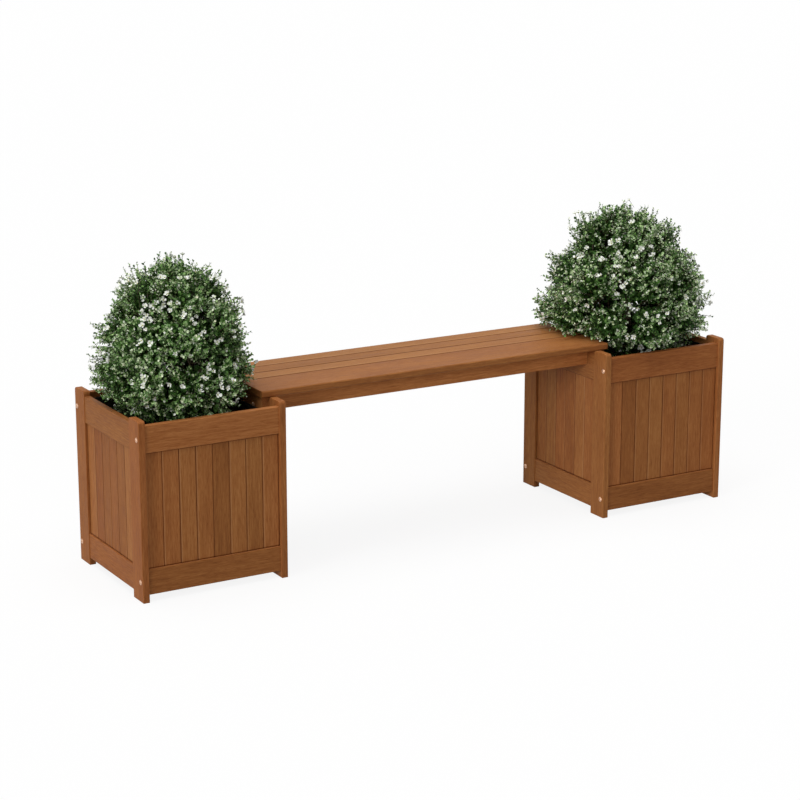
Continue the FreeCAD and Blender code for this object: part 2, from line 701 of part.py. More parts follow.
def seat():
    """Four boards on two aprons, a middle batten and two battens hooked over the planters' inner rails."""
    holes = seat_screws()
    for index, name in enumerate(SEAT_BOARDS):
        keep(f"seat_{name}_board", cut(seat_board(index), [holes]))
    apron_length = f"(2 * {INNER_FACE} - 2 * hook_slack)"
    for name, way in (("front", -1), ("rear", 1)):
        apron = padded("YZ_Plane", rectangle("apron_thickness", "apron_height"), apron_length)
        ease(apron, "edge_radius", lambda e: runs_along("X")(e) and e.BoundBox.ZMax < TOLERANCE)
        y = f"{way} * ({apron_inside(name)} + apron_thickness / 2) - apron_thickness / 2"
        place(apron, f"-{apron_length} / 2", y, APRON_BOTTOM)
        keep(f"seat_{name}_apron", cut(apron, [holes]))
    span = f"{apron_inside('front')} + {apron_inside('rear')}"
    batten = padded("YZ_Plane", rectangle(span, "middle_batten_height"), "middle_batten_width")
    place(batten, "-middle_batten_width / 2", f"-{apron_inside('front')}", BATTEN_BOTTOM)
    keep("seat_middle_batten", cut(batten, [holes]))
    bolt_places = []
    for name, side in (("left", -1), ("right", 1)):
        keep(f"seat_{name}_hook_batten", cut(hook_batten(side), [holes]))
        for way in (-1, 1):
            x = f"{side} * ({INNER_FACE} + {HOOK_BACK})"
            bolt_places.append((x, f"{way} * seat_bolt_spacing / 2", SEAT_BOLT_HEIGHT, 90 + 90 * side))
    copies("seat_bolts", (connector_bolt("seat_bolt_length"), bolt_places))


def write_parts():
    """Writes every sub-part once the whole document is sound."""
    DOC.recompute()
    broken = [o.Label for o in DOC.Objects if {"Invalid", "Error"} & set(o.State)]
    unsound = [name for name, o in NODES.items() if o.Shape.isNull() or not o.Shape.isValid()]
    if broken or unsound:
        raise RuntimeError(f"failed objects {broken}, unsound shapes {unsound}")
    os.makedirs("parts", exist_ok=True)
    for name, thing in NODES.items():
        thing.Shape.exportStep(os.path.join("parts", f"{name}.step"))
    print(len(NODES), "sub-parts")


for planter_name, planter_side in (("left", -1), ("right", 1)):
    planter_box(planter_name, planter_side)
    liner_tub(planter_name, planter_side)
    soil(planter_name, planter_side)
    stems(planter_name, planter_side)
    foliage(planter_name, planter_side)
panel_fasteners()
seat()
write_parts()
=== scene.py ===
import math
import random

import bmesh
import bpy
from mathutils import Matrix, Vector, noise


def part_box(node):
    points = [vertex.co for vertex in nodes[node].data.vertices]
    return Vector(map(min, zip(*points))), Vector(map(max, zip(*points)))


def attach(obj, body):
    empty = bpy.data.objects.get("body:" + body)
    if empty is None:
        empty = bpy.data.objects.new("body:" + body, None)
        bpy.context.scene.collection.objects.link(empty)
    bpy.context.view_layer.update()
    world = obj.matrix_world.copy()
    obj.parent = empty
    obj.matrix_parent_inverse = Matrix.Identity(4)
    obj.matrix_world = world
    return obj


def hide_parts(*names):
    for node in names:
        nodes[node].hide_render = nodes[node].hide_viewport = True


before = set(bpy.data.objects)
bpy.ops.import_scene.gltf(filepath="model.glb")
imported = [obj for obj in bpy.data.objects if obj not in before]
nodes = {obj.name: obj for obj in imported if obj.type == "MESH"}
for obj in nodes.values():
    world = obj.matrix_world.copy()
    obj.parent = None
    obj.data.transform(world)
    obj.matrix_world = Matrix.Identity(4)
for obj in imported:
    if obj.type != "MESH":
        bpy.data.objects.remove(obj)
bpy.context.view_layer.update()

# Corner posts
# Flat hardwood posts with rounded shoulders stand at the four corners of each planter, planed, sanded
# and oiled. The bolts of the front and rear panels pass through them.
SIDES = ("left", "right")
ENDS = ("front", "rear")
ALONG_X, ALONG_Y, ALONG_Z = 0, 1, 2
MIX_INPUTS = (0, 6, 7)
MIX_OUTPUT = 2


class Wire:
    """A socket in a finish's node tree; sums and products of wires add Math nodes."""

    def __init__(self, finish, socket):
        self.finish = finish
        self.socket = socket

    def maths(self, operation, *terms):
        return self.finish.node("ShaderNodeMath", {"operation": operation}, dict(enumerate(terms)))

    def __add__(self, other):
        return self.maths("ADD", self, other)

    def __sub__(self, other):
        return self.maths("SUBTRACT", self, other)

    def __rsub__(self, other):
        return self.maths("SUBTRACT", other, self)

    def __mul__(self, other):
        return self.maths("MULTIPLY", self, other)

    def __truediv__(self, other):
        return self.maths("DIVIDE", self, other)

    __radd__ = __add__
    __rmul__ = __mul__

    def floor(self):
        return self.maths("FLOOR", self)

    def fraction(self):
        return self.maths("FRACT", self)

    def least(self, other):
        return self.maths("MINIMUM", self, other)

    def size(self):
        return self.maths("ABSOLUTE", self)

    def swing(self, amount, middle=0.5):
        """How far a pattern stands above or below its middle, times an amount."""
        return (self - middle) * amount

    def steps_up(self, low, high):
        """Rises smoothly from 0 at low to 1 at high, or falls where low is the greater."""
        ends = {"Value": self, "From Min": low, "From Max": high}
        return self.finish.node("ShaderNodeMapRange", {"interpolation_type": "SMOOTHSTEP"}, ends)


class Finish:
    """A material with one Principled surface, whose pattern is added node by node."""

    def __init__(self, name, **sockets):
        self.material = bpy.data.materials.new(name)
        self.material.use_nodes = True
        self.tree = self.material.node_tree
        self.shader = self.tree.nodes["Principled BSDF"]
        self.surface(**sockets)

    def fill(self, node, sockets):
        for key, value in sockets.items():
            if isinstance(value, Wire):
                self.tree.links.new(value.socket, node.inputs[key])
            else:
                node.inputs[key].default_value = value

    def node(self, kind, settings=None, sockets=None, output=0):
        """Adds a node, with its settings first and then the values or wires of its sockets."""
        node = self.tree.nodes.new(kind)
        for key, value in (settings or {}).items():
            if key == "stops":
                self.set_stops(node.color_ramp.elements, value)
            else:
                setattr(node, key, value)
        self.fill(node, sockets or {})
        return Wire(self, node.outputs[output])

    def set_stops(self, elements, stops):
        while len(elements) < len(stops):
            elements.new(1)
        for element, (position, colour) in zip(elements, stops):
            element.position = position
            element.color = (*colour, 1)

    def place(self):
        """Where a point of the piece lies, in metres."""
        return self.node("ShaderNodeTexCoord", output="Object")

    def on_axis(self, vector, axis):
        return self.node("ShaderNodeSeparateXYZ", {}, {"Vector": vector}, axis)

    def tint(self, factor, colour, other, way="MIX"):
        """Mixes or multiplies two colours, on those sockets of a Mix node that are for colours."""
        settings = {"data_type": "RGBA", "blend_type": way}
        opaque = [part if isinstance(part, Wire) else (*part, 1) for part in (colour, other)]
        return self.node("ShaderNodeMix", settings, dict(zip(MIX_INPUTS, (factor, *opaque))), MIX_OUTPUT)

    def noise(self, place, scale, detail):
        """A cloudy pattern around a half; a scale for each axis draws it out."""
        if isinstance(scale, tuple):
            place = self.node("ShaderNodeVectorMath", {"operation": "MULTIPLY"}, {0: place, 1: scale})
            scale = 1.0
        return self.node("ShaderNodeTexNoise", {}, {"Vector": place, "Scale": scale, "Detail": detail})

    def surface(self, **sockets):
        self.fill(self.shader, {key.replace("_", " "): value for key, value in sockets.items()})

    def bumped(self, height, strength, depth):
        sockets = {"Height": height, "Strength": strength, "Distance": depth}
        self.surface(Normal=self.node("ShaderNodeBump", {}, sockets))


WOOD_TONES = (
    (0.0, (0.214, 0.075, 0.022)),
    (0.35, (0.309, 0.117, 0.036)),
    (0.6, (0.375, 0.152, 0.049)),
    (1.0, (0.485, 0.219, 0.078)),
)
MIDDLE_TONE = 0.5
RED_CAST = (1.0, 0.86, 0.77)
GOLD_CAST = (0.98, 0.95, 0.85)
CLOUDS = {"lengthways": 4, "crossways": 22, "detail": 2}
STREAKS = {"lengthways": 11, "crossways": 210, "detail": 3}
FIBRES = {"lengthways": 38, "crossways": 520, "detail": 2}
PORES = {"lengthways": 60, "crossways": 900, "detail": 1}
CLOUD_SHARE = 0.55
STREAK_SHARE = 0.75
FIBRE_SHARE = 0.95
BOARD_SHARE = 0.42
PORE_EDGE = (0.58, 0.72)
PORE_SHADE = (0.68, 0.60, 0.54)
PORE_DARKNESS = 0.7
BOARD_JOINT = 0.0024
RUBBED_EDGE = (0.58, 0.29, 0.125)
RUBBED_SHARE = 0.45
RUBBED_START = (0.3, 0.7)
RUBBED_END = (2.3, 1.3)
JOINT_GRIME = (0.46, 0.37, 0.31)
FULL_GRIME = 0.4
LEAST_GRIME = 0.1
# Painted shade: the tint, width and fade of the shadow line along a panel's frame.
FRAME_SHADOW_TINT = (0.38, 0.30, 0.25)
FRAME_SHADOW_WIDTH = 0.004
FULL_FRAME_SHADOW = 0.3
WOOD_ROUGHNESS = 0.56
STREAK_ROUGHNESS = 0.35
STREAK_HEIGHT = 0.6
FIBRE_HEIGHT = 0.5
PORE_DEPTH = 0.7
# Each board has its grain from another place in one long log, and its own tone, cast and dirt.
LOG_LENGTH = 50
BOARD_SHIFT = 1.7
BOARD_STEPS = (0, 7.3, 3.1)
timber_draw = random.Random(11)


def oiled_wood(name, along, boards=None, joint=BOARD_JOINT, cast=(1, 1, 1), opening=()):
    """Oiled reddish hardwood with its grain along an axis, in one board or in a row of them.

    A row is given as the axis across it, where it starts and the boards' pitch. Grime lies within a joint's
    width of each edge, and next to it one edge is rubbed pale. An opening is where a frame lets the wood be
    seen, as the low and high end on each of its axes; along the frame the boards are darkened by painted
    shade, a shadow line where they sit back behind the rails and posts.
    """
    finish = Finish(name, Specular_IOR_Level=0.1)
    place = finish.place()
    on_axis = [finish.on_axis(place, axis) for axis in "XYZ"]
    seed = timber_draw.uniform(0, LOG_LENGTH)
    if boards:
        across, start, pitch = boards
        distance = on_axis[across] - start
        number = (distance / pitch).floor() + seed
        board_tone, board_cast, joint_dirt = (
            finish.node("ShaderNodeTexWhiteNoise", {"noise_dimensions": "1D"}, {"W": number + step})
            for step in BOARD_STEPS)
        shift = finish.node("ShaderNodeCombineXYZ", {}, {axis: number * BOARD_SHIFT for axis in "XYZ"})
    else:
        board_tone = timber_draw.random()
        board_cast = timber_draw.random()
        shift = (seed, seed, seed)
    in_log = finish.node("ShaderNodeVectorMath", {"operation": "ADD"}, {0: place, 1: shift})

    def drawn_out(lengthways, crossways, detail):
        scale = [crossways] * 3
        scale[along] = lengthways
        return finish.noise(in_log, tuple(scale), detail)

    clouds = drawn_out(**CLOUDS)
    streaks = drawn_out(**STREAKS)
    fibres = drawn_out(**FIBRES)
    pores = drawn_out(**PORES).steps_up(*PORE_EDGE)
    grain = clouds.swing(CLOUD_SHARE) + streaks.swing(STREAK_SHARE) + fibres.swing(FIBRE_SHARE)
    grain = grain + MIDDLE_TONE + (board_tone - MIDDLE_TONE) * BOARD_SHARE
    colour = finish.node("ShaderNodeValToRGB", {"stops": WOOD_TONES}, {"Fac": grain})
    colour = finish.tint(1.0, colour, finish.tint(board_cast, GOLD_CAST, RED_CAST), "MULTIPLY")
    # Where a cast is given it multiplies in painted light: a painted sheen on the seat boards, a painted
    # lightening of the aprons against the shade under the seat.
    colour = finish.tint(1.0, colour, cast, "MULTIPLY")
    colour = finish.tint(pores * PORE_DARKNESS, colour, PORE_SHADE, "MULTIPLY")
    if boards:
        part = (distance / pitch).fraction()
        from_start = part * pitch
        from_joint = part.least(1 - part) * pitch
        rubbed = from_start.steps_up(*(share * joint for share in RUBBED_START))
        rubbed = rubbed * from_start.steps_up(*(share * joint for share in RUBBED_END))
        colour = finish.tint(rubbed * board_tone * RUBBED_SHARE, colour, RUBBED_EDGE)
        dirt = joint_dirt * (1 - LEAST_GRIME) + LEAST_GRIME
        grime = from_joint.steps_up(joint, FULL_GRIME * joint) * dirt
        colour = finish.tint(grime, colour, JOINT_GRIME, "MULTIPLY")
    # Painted shade: the boards darken towards the rails and posts round the opening, as a shadow line.
    for axis, low, high in opening:
        from_frame = (on_axis[axis] - low).least(high - on_axis[axis])
        frame_shadow = from_frame.steps_up(FRAME_SHADOW_WIDTH, FULL_FRAME_SHADOW * FRAME_SHADOW_WIDTH)
        colour = finish.tint(frame_shadow, colour, FRAME_SHADOW_TINT, "MULTIPLY")
    finish.surface(Base_Color=colour, Roughness=WOOD_ROUGHNESS + streaks.swing(STREAK_ROUGHNESS))
    relief = streaks * STREAK_HEIGHT + fibres * FIBRE_HEIGHT - pores * PORE_DEPTH
    finish.bumped(relief, strength=0.35, depth=0.0005)
    return finish.material


def coat(name, material):
    """Gives a CAD node its finish."""
    nodes[name].data.materials.clear()
    nodes[name].data.materials.append(material)


for side in SIDES:
    for end_frame in ("outer", "inner"):
        for end in ENDS:
            post = f"{side}_{end_frame}_{end}_post"
            coat(post, oiled_wood(post, ALONG_Z))

# Panel rails
# An upper and a lower rail frame each of the four panels of a planter. They are planed hardwood with a
# groove for the boards; those at the front and rear are bolted to the posts and the others are dowelled.
PANELS = {"outer": ALONG_Y, "inner": ALONG_Y, "front": ALONG_X, "rear": ALONG_X}
LEVELS = ("upper", "lower")
for side in SIDES:
    for panel, along in PANELS.items():
        for level in LEVELS:
            rail = f"{side}_{panel}_{level}_rail"
            coat(rail, oiled_wood(rail, along))

# Panel boards
# Thin tongued boards with a V joint between each two fill the panels. They stand loose in the rails'
# grooves, and each was cut from another plank, so their tones differ.
BOARD_COUNTS = {ALONG_X: 8, ALONG_Y: 6}
for side in SIDES:
    for panel, across in PANELS.items():
        row = f"{side}_{panel}_boards"
        low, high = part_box(row)
        pitch = (high[across] - low[across]) / BOARD_COUNTS[across]
        above, below = (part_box(f"{side}_{panel}_{level}_rail") for level in LEVELS)
        opening = ((across, above[0][across], above[1][across]), (ALONG_Z, below[1].z, above[0].z))
        coat(row, oiled_wood(row, ALONG_Z, (across, low[across], pitch), opening=opening))

# Planter floor
# Five rough slats lie across two bearers inside each planter and carry the liner tub. They are the same
# hardwood, and water drains between them.
FLOOR_SLATS = 5
for side in SIDES:
    for end in ENDS:
        bearer = f"{side}_{end}_floor_bearer"
        coat(bearer, oiled_wood(bearer, ALONG_X))
    slats = f"{side}_floor_slats"
    low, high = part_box(slats)
    coat(slats, oiled_wood(slats, ALONG_Y, (ALONG_X, low.x, (high.x - low.x) / FLOOR_SLATS)))

# Connector bolts, barrel nuts and seat bolts
# Domed socket-head bolts of coppery plated steel pull the rails against the posts, with barrel nuts in
# the rails. Four more of them hold the seat to the planters.
PLATING = (0.75, 0.47, 0.31)
TARNISH = (0.46, 0.27, 0.16)
TARNISH_SCALE = 260
TARNISH_EDGE = (0.45, 0.75)
PLATING_ROUGHNESS = 0.30
TARNISH_ROUGHNESS = 0.5
PITTING_SCALE = 2400


def plated_steel():
    """Thin coppery plating, tarnished in blotches and finely pitted."""
    finish = Finish("plated_steel", Metallic=0.55)
    place = finish.place()
    blotches = finish.noise(place, TARNISH_SCALE, detail=3)
    finish.surface(Base_Color=finish.tint(blotches.steps_up(*TARNISH_EDGE), PLATING, TARNISH))
    finish.surface(Roughness=PLATING_ROUGHNESS + blotches.swing(TARNISH_ROUGHNESS, middle=0.4))
    finish.bumped(finish.noise(place, PITTING_SCALE, detail=2), strength=0.12, depth=0.0002)
    return finish.material


plating = plated_steel()
for fastener in ("panel_connector_bolts", "panel_barrel_nuts", "seat_bolts"):
    coat(fastener, plating)

# Dowels
# Pale beech dowels join the rails of the end panels to the posts. They are glued into bores in both, and
# nothing of them shows.
BEECH = (0.56, 0.38, 0.22)
BEECH_FLECK = (0.40, 0.24, 0.12)
FLECK_SCALE = (900, 60, 900)
FLECK_EDGE = (0.5, 0.7)


def bare_beech():
    """Bare pale wood with short dark flecks along the dowels."""
    finish = Finish("bare_beech", Roughness=0.65)
    flecks = finish.noise(finish.place(), FLECK_SCALE, detail=2)
    finish.surface(Base_Color=finish.tint(flecks.steps_up(*FLECK_EDGE), BEECH, BEECH_FLECK))
    finish.bumped(flecks, strength=0.2, depth=0.0003)
    return finish.material


coat("end_frame_dowels", bare_beech())

# Seat
# Four planed boards, the front one wide with a rounded front edge, lie on two aprons, a middle batten and
# two battens that hook over the planters' inner rails. Screws from below hold them.
# Painted sheen, in part: the seat boards are made paler and less red than the rest to stand in for the sheen
# on the seat's top; the rest is their own yellower tone.
SEAT_TONE_AND_SHEEN = (0.98, 1.08, 1.06)
# Painted light: the aprons are brightened well past the other boards to make up for the shade under the
# seat's overhang; part of it is their own paler plank.
APRON_TONE_AND_LIGHT = (1.42, 1.42, 1.46)
SEAT_JOINT = 0.0045
SEAT_GAP = 0.002
for which in ("rear", "second", "third", "front"):
    board = f"seat_{which}_board"
    low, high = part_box(board)
    pitch = high.y - low.y + SEAT_GAP
    if which == "front":
        # With twice the pitch only the rear edge of this board lies at a joint.
        pitch *= 2
    row = (ALONG_Y, high.y + SEAT_GAP / 2 - pitch, pitch)
    coat(board, oiled_wood(board, ALONG_X, row, SEAT_JOINT, SEAT_TONE_AND_SHEEN))
for end in ENDS:
    apron = f"seat_{end}_apron"
    coat(apron, oiled_wood(apron, ALONG_X, cast=APRON_TONE_AND_LIGHT))
for batten in ("seat_middle_batten", "seat_left_hook_batten", "seat_right_hook_batten"):
    coat(batten, oiled_wood(batten, ALONG_Y))

# Seat screws
# Countersunk steel screws, zinc plated, go up through the battens and aprons into the seat's boards. Their
# heads lie flush.
ZINC = (0.62, 0.62, 0.60)
ZINC_STAIN = (0.40, 0.39, 0.36)
STAIN_SCALE = 500
STAIN_EDGE = (0.4, 0.7)
ZINC_ROUGHNESS = 0.32
STAIN_ROUGHNESS = 0.4


def zinc_steel():
    """Bright zinc that has dulled in small stains."""
    finish = Finish("zinc_steel", Metallic=1.0)
    stains = finish.noise(finish.place(), STAIN_SCALE, detail=3)
    finish.surface(Base_Color=finish.tint(stains.steps_up(*STAIN_EDGE), ZINC, ZINC_STAIN))
    finish.surface(Roughness=ZINC_ROUGHNESS + stains.swing(STAIN_ROUGHNESS, middle=0.4))
    return finish.material


coat("seat_screws", zinc_steel())

# Liner tubs
# A black moulded plastic tub with drain holes stands on the slats in each planter and keeps wet soil off
# the wood. It lifts out with the shrub.
# Painted shade, in part: the tub is near black so that the inside of the planter reads as deep shade; the
# rest is its own black plastic.
LINER_BLACK = (0.012, 0.009, 0.007)
LINER_DUST = (0.030, 0.026, 0.022)
WATER_RUNS = (60, 60, 7)
RUN_EDGE = (0.4, 0.8)
LINER_ROUGHNESS = 0.48
RUN_ROUGHNESS = 0.4
MOULD_GRAIN = 1800


def moulded_liner():
    """Black plastic with a fine grain and faint streaks where water has run down it."""
    finish = Finish("moulded_liner", Specular_IOR_Level=0.25)
    place = finish.place()
    runs = finish.noise(place, WATER_RUNS, detail=4)
    finish.surface(Base_Color=finish.tint(runs.steps_up(*RUN_EDGE), LINER_BLACK, LINER_DUST))
    finish.surface(Roughness=LINER_ROUGHNESS + runs.swing(RUN_ROUGHNESS, middle=0.4))
    finish.bumped(finish.noise(place, MOULD_GRAIN, detail=1), strength=0.2, depth=0.0003)
    return finish.material


liner = moulded_liner()
for side in SIDES:
    coat(f"{side}_liner_tub", liner)

# Potting soil
# Dark peaty soil fills each tub to below its rim. Its top is lumpy, and chips of bark mulch lie on it
# round the trunk.
PEAT = (0.012, 0.008, 0.005)
LOAM = (0.045, 0.028, 0.016)
CRUMB_SCALE = 170
CRUMB_SHARE = 0.6
PATCH_SCALE = 24
PATCH_SHARE = 0.5
LOAM_EDGE = (0.4, 0.8)
SOIL_ROUGHNESS = 0.82
PATCH_ROUGHNESS = 0.3
SOIL_CORNER = 0.022
SOIL_CORNER_CUTS = 5
SOIL_CUT = 0.012
CUT_MERGE = 1e-6
SOIL_SKIN = 1e-4
SOIL_LUMP = 0.007
LUMP_SCALE = 28
CLOD_SCALE = 75
CLOD_SHARE = 0.5
LUMP_SINK = 0.6


def crumbly_soil():
    """Dark crumbs of peat with paler patches of loam."""
    finish = Finish("crumbly_soil", Specular_IOR_Level=0.2)
    place = finish.place()
    crumbs = finish.noise(place, CRUMB_SCALE, detail=5)
    patches = finish.noise(place, PATCH_SCALE, detail=3)
    loam = (crumbs * CRUMB_SHARE + patches * PATCH_SHARE).steps_up(*LOAM_EDGE)
    finish.surface(Base_Color=finish.tint(loam, PEAT, LOAM))
    finish.surface(Roughness=SOIL_ROUGHNESS + patches.swing(PATCH_ROUGHNESS))
    finish.bumped(crumbs, strength=0.9, depth=0.004)
    return finish.material


CHIP_COUNT = 260
CHIP_SIZE = (0.017, 0.007, 0.0025)
CHIP_TIP_WIDTH = 0.45
CHIP_TIP_THICKNESS = 0.5
CHIP_SLANT = 0.8
CHIP_GRADES = (0.6, 1.4)
CHIP_SPREAD = 0.93
CHIP_BED = (-0.003, 0.002)
CHIP_ROLL = 0.5
CHIP_PITCH = 0.3
MULCH_SLOT = 1
MULCH_DARK = (0.030, 0.015, 0.008)
MULCH_PALE = (0.12, 0.062, 0.03)
MULCH_PATCHES = 60
MULCH_PATCH_SHARE = 0.7
MULCH_RIDGES = (500, 300, 500)
MULCH_RIDGE_SHARE = 0.5
MULCH_EDGE = (0.4, 0.9)
MULCH_ROUGHNESS = 0.75
RIDGE_ROUGHNESS = 0.3


def bark_mulch():
    """Ridged brown bark, each chip lighter or darker than the next."""
    finish = Finish("bark_mulch", Specular_IOR_Level=0.25)
    place = finish.place()
    patches = finish.noise(place, MULCH_PATCHES, detail=3)
    ridges = finish.noise(place, MULCH_RIDGES, detail=3)
    tones = (patches * MULCH_PATCH_SHARE + ridges * MULCH_RIDGE_SHARE).steps_up(*MULCH_EDGE)
    finish.surface(Base_Color=finish.tint(tones, MULCH_DARK, MULCH_PALE))
    finish.surface(Roughness=MULCH_ROUGHNESS + ridges.swing(RIDGE_ROUGHNESS))
    finish.bumped(ridges, strength=0.7, depth=0.0015)
    return finish.material


def as_mesh(name, bm):
    mesh = bpy.data.meshes.new(name)
    bm.to_mesh(mesh)
    bm.free()
    return mesh


def finished(name, bm, materials):
    """Makes a bmesh into an object at the origin."""
    mesh = as_mesh(name, bm)
    for material in materials:
        mesh.materials.append(material)
    piece = bpy.data.objects.new(name, mesh)
    bpy.context.scene.collection.objects.link(piece)
    return piece


def turned(angle, axis):
    return Matrix.Rotation(angle, 4, axis)


def resized(factor):
    return Matrix.Scale(factor, 4)


def add_chip(bm, matrix):
    """A flat splinter of bark with tapered ends, on the second material."""
    chip = bmesh.ops.create_cube(bm, size=1, matrix=Matrix.Diagonal((*CHIP_SIZE, 1)))["verts"]
    for vert in chip:
        if vert.co.x > 0:
            vert.co.y *= CHIP_TIP_WIDTH
            vert.co.z *= CHIP_TIP_THICKNESS
        elif vert.co.z > 0:
            vert.co.x *= CHIP_SLANT
    for face in {f for v in chip for f in v.link_faces}:
        face.material_index = MULCH_SLOT
    bmesh.ops.transform(bm, matrix=matrix, verts=chip)


def soil_mix(side, draw):
    """A block with rounded corners, cut into a grid whose top is pushed into lumps, and chips on it."""
    low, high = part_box(f"{side}_soil")
    middle = (low + high) / 2
    size = high - low
    bm = bmesh.new()
    bmesh.ops.create_cube(bm, size=1, matrix=Matrix.LocRotScale(middle, None, size))
    upright = [e for e in bm.edges if abs(e.verts[0].co.z - e.verts[1].co.z) > size.z / 2]
    bmesh.ops.bevel(bm, geom=upright, offset=SOIL_CORNER, offset_type="OFFSET", affect="EDGES",
                    segments=SOIL_CORNER_CUTS, profile=0.5, material=-1)
    for axis in (ALONG_X, ALONG_Y):
        for step in range(1, math.ceil(size[axis] / SOIL_CUT)):
            point = low.copy()
            point[axis] += step * SOIL_CUT
            normal = Vector((0, 0, 0))
            normal[axis] = 1
            everything = bm.verts[:] + bm.edges[:] + bm.faces[:]
            bmesh.ops.bisect_plane(bm, geom=everything, dist=CUT_MERGE, plane_co=point, plane_no=normal)
    for vert in bm.verts:
        if vert.co.z > high.z - SOIL_SKIN:
            lumps = noise.noise(vert.co * LUMP_SCALE) + CLOD_SHARE * noise.noise(vert.co * CLOD_SCALE)
            vert.co.z += SOIL_LUMP * (lumps - LUMP_SINK)
    for _ in range(CHIP_COUNT):
        spot = Vector((draw.uniform(low.x, high.x), draw.uniform(low.y, high.y), high.z))
        spot = middle + (spot - middle) * CHIP_SPREAD
        spot.z = high.z + draw.uniform(*CHIP_BED)
        roll = turned(draw.uniform(-CHIP_ROLL, CHIP_ROLL), "X")
        tip = turned(draw.uniform(-CHIP_PITCH, CHIP_PITCH), "Y")
        turn = turned(draw.uniform(0, math.tau), "Z")
        grade = resized(draw.uniform(*CHIP_GRADES))
        add_chip(bm, Matrix.Translation(spot) @ turn @ roll @ tip @ grade)
    return finished(f"{side}_soil_mix", bm, soil_finishes)


soil_finishes = [crumbly_soil(), bark_mulch()]
for side in SIDES:
    soil = soil_mix(side, random.Random(f"{side} soil"))
    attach(soil, f"{side}_shrub")
    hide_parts(f"{side}_soil")

# Trunk and branches
# Each shrub has a short woody trunk, rooted in the soil, that forks low into several branches. They have
# thin grey-brown bark with cracks along them.
BARK_GREY = (0.16, 0.115, 0.075)
BARK_CRACK = (0.035, 0.022, 0.014)
CRACK_SCALE = (330, 330, 60)
CRACK_SHARE = 0.8
BLOTCH_SCALE = 45
BLOTCH_SHARE = 0.35
BARK_EDGE = (0.42, 0.72)
BARK_ROUGHNESS = 0.8
BLOTCH_ROUGHNESS = 0.2


def shrub_bark():
    """Blotched grey-brown bark with dark cracks that run up it."""
    finish = Finish("shrub_bark")
    place = finish.place()
    cracks = finish.noise(place, CRACK_SCALE, detail=4)
    blotches = finish.noise(place, BLOTCH_SCALE, detail=3)
    tone = (cracks * CRACK_SHARE + blotches * BLOTCH_SHARE).steps_up(*BARK_EDGE)
    finish.surface(Base_Color=finish.tint(tone, BARK_CRACK, BARK_GREY))
    finish.surface(Roughness=BARK_ROUGHNESS + blotches.swing(BLOTCH_ROUGHNESS))
    finish.bumped(cracks, strength=0.8, depth=0.002)
    return finish.material


bark = shrub_bark()
for side in SIDES:
    coat(f"{side}_stems", bark)

# Leaves
# Small glossy oval leaves crowd on short twigs all over the crown, in three layers: dark ones inside,
# the main layer round them, and paler young shoots. Their tones are partly painted light and shade: the
# deeper a twig lies in the crown the darker its leaves, and the palest, near-white tones are painted
# highlights for glints on the glossy leaves. The twigs grow outwards and upwards from the branches.
TONE_STEPS = 16
HUE_STEPS = 4
MAP_ROWS = HUE_STEPS + 1
# Painted highlights: the palest, near-white tones stand in for glints on the glossy leaves.
LEAF_TONES = (
    (0.0, (0.013, 0.046, 0.006)),
    (0.25, (0.056, 0.145, 0.029)),
    (0.5, (0.14, 0.29, 0.072)),
    (0.72, (0.36, 0.56, 0.24)),
    (0.88, (0.70, 0.83, 0.56)),
    (1.0, (0.93, 0.96, 0.86)),
)
MARGIN_PALENESS = 0.10
YELLOW_LEAF = (1.0, 0.97, 0.58)
YELLOW_SHARE = 0.55
MIDRIB = (0.16, 0.24, 0.09)
MIDRIB_EDGE = (0.05, 0.02)
MIDRIB_SHARE = 0.6
TWIG_BROWN = (0.055, 0.038, 0.018)
TWIG_ROW = (0.97, 0.99)
LEAF_ROUGHNESS = 0.34
MARGIN_ROUGHNESS = 0.3


def leaf_map():
    """Leaves share one map: a column for each tone, a row for each hue, and the top row for twigs."""
    finish = Finish("shrub_leaves", Specular_IOR_Level=0.2)
    spot = finish.node("ShaderNodeUVMap", {"uv_map": "OFBake"})
    across = finish.on_axis(spot, "X") * TONE_STEPS
    along = finish.on_axis(spot, "Y") * MAP_ROWS
    tone = across.floor() / (TONE_STEPS - 1)
    hue = along.floor() / HUE_STEPS
    from_rib = (across.fraction() - 0.5).size()
    tones = {"Fac": tone + from_rib * MARGIN_PALENESS}
    colour = finish.node("ShaderNodeValToRGB", {"stops": LEAF_TONES}, tones)
    colour = finish.tint(hue * YELLOW_SHARE, colour, YELLOW_LEAF, "MULTIPLY")
    colour = finish.tint(from_rib.steps_up(*MIDRIB_EDGE) * tone * MIDRIB_SHARE, colour, MIDRIB)
    colour = finish.tint(hue.steps_up(*TWIG_ROW), colour, TWIG_BROWN)
    finish.surface(Base_Color=colour, Roughness=LEAF_ROUGHNESS + from_rib * MARGIN_ROUGHNESS)
    return finish.material


def lay_on_map(verts, uv, spot):
    """Lays the faces of these points on the map, where a function of a point's place says."""
    for face in {f for v in verts for f in v.link_faces}:
        for loop in face.loops:
            loop[uv].uv = spot(loop.vert.co)


DISC_SIDES = 6
DISC_HALF = 0.58
LEAF_LENGTH = 0.0066
LEAF_WIDTH = 0.0047
LEAF_FOLD = 0.22
LEAF_DROOP = 0.18
CELL_REACH = 0.42


